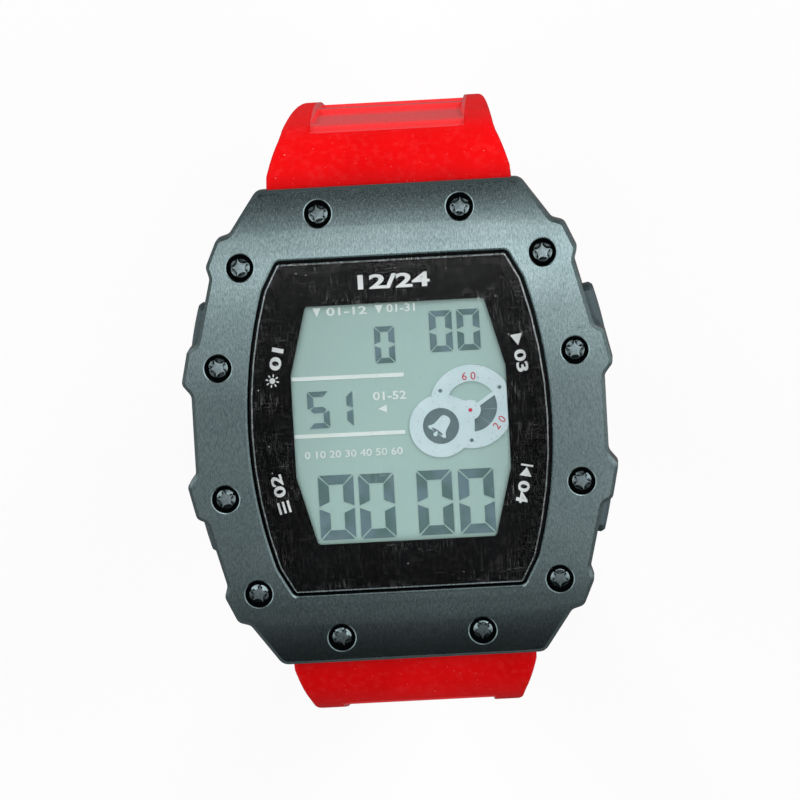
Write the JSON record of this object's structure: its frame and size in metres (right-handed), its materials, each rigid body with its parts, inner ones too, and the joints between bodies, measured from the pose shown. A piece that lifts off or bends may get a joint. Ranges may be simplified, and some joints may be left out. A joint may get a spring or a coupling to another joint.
{
  "type": "digital watch",
  "caption": "Digital wristwatch with a screwed face ring, side pushers, a grey display and a two-part rubber strap with buckle, standing open.",
  "frame": {"origin": "centre of the case back's outer face", "axes": "+X across the dial towards three o'clock, +Y towards twelve o'clock, +Z out of the glass"},
  "size_m": [0.0436, 0.0628, 0.0786],
  "materials": {
    "bezel_finish": "satin metallic grey-teal, fine sparkle grain",
    "housing_plastic": "satin grey-teal moulding",
    "pusher_finish": "satin grey-teal moulding",
    "screw_steel": "satin steel",
    "crystal_glass": "polished, bevelled edge",
    "mask_black": "gloss black print",
    "lcd_cell": "grey-green display glass",
    "back_steel": "circular brushed",
    "seal_rubber": "black seal rubber",
    "module_plastic": "black moulding",
    "board_laminate": "green laminate",
    "light_guide": "milky moulding",
    "cell_nickel": "nickel plated",
    "spring_steel": "spring steel",
    "chip_resin": "black resin",
    "buzzer_brass": "rolled brass",
    "strap_rubber": "matte red silicone",
    "buckle_steel": "satin grey steel"
  },
  "bodies": {
    "case": {"bezel": "bezel_finish", "bezel_screws": "screw_steel", "end_screws": "screw_steel", "crystal": "crystal_glass", "crystal_gasket": "seal_rubber", "dial_mask": "mask_black", "lcd_panel": "lcd_cell", "mid_case": "housing_plastic", "case_back": "back_steel", "case_back_screws": "screw_steel", "back_gasket": "seal_rubber", "pusher_seals": "seal_rubber", "module_frame": "module_plastic", "circuit_board": "board_laminate", "zebra_connectors": "seal_rubber", "backlight_panel": "light_guide", "backlight_led": "light_guide", "battery": "cell_nickel", "battery_clamp": "spring_steel", "controller_chip": "chip_resin", "quartz_can": "spring_steel", "piezo_buzzer": "buzzer_brass", "buzzer_contact": "spring_steel", "switch_contacts": "spring_steel", "spring_bar_12": "spring_steel", "spring_bar_6": "spring_steel"},
    "strap_12": {"strap_12": "strap_rubber"},
    "strap_6": {"strap_6": "strap_rubber"},
    "buckle": {"buckle_frame": "buckle_steel", "buckle_bar": "spring_steel"},
    "tongue": {"buckle_tongue": "buckle_steel"},
    "keeper": {"free_keeper": "strap_rubber"},
    "pusher_light": {"pusher_light": "pusher_finish", "clip_light": "spring_steel"},
    "pusher_mode": {"pusher_mode": "pusher_finish", "clip_mode": "spring_steel"},
    "pusher_start": {"pusher_start": "pusher_finish", "clip_start": "spring_steel"},
    "pusher_reset": {"pusher_reset": "pusher_finish", "clip_reset": "spring_steel"}
  },
  "joints": [
    {"name": "strap_12_swing", "type": "hinge", "parent": "case", "child": "strap_12", "pos_m": [0, 0.0218, 0.0041], "axis": [1, 0, 0], "range_deg": [0, 14]},
    {"name": "strap_6_swing", "type": "hinge", "parent": "case", "child": "strap_6", "pos_m": [0, -0.0218, 0.0041], "axis": [-1, 0, 0], "range_deg": [0, 14]},
    {"name": "buckle_swing", "type": "hinge", "parent": "strap_12", "child": "buckle", "pos_m": [0, 0.01037, -0.0507], "axis": [1, 0, 0], "range_deg": [-95, 20]},
    {"name": "tongue_swing", "type": "hinge", "parent": "buckle", "child": "tongue", "pos_m": [0, 0.01037, -0.0507], "axis": [1, 0, 0], "range_deg": [0, 55]},
    {"name": "keeper_slide", "type": "slide", "parent": "strap_12", "child": "keeper", "axis": [0, 0.766, 0.6428], "range_m": [-0.0024, 0.0055]},
    {"name": "pusher_light_press", "type": "slide", "parent": "case", "child": "pusher_light", "axis": [0.9816, -0.1908, 0], "range_m": [0, 0.0006], "stiffness_N_per_m": 800, "springref_m": -0.001},
    {"name": "pusher_mode_press", "type": "slide", "parent": "case", "child": "pusher_mode", "axis": [0.9816, 0.1908, 0], "range_m": [0, 0.0006], "stiffness_N_per_m": 800, "springref_m": -0.001},
    {"name": "pusher_start_press", "type": "slide", "parent": "case", "child": "pusher_start", "axis": [-0.9816, -0.1908, 0], "range_m": [0, 0.0006], "stiffness_N_per_m": 800, "springref_m": -0.001},
    {"name": "pusher_reset_press", "type": "slide", "parent": "case", "child": "pusher_reset", "axis": [-0.9816, 0.1908, 0], "range_m": [0, 0.0006], "stiffness_N_per_m": 800, "springref_m": -0.001}
  ]
}
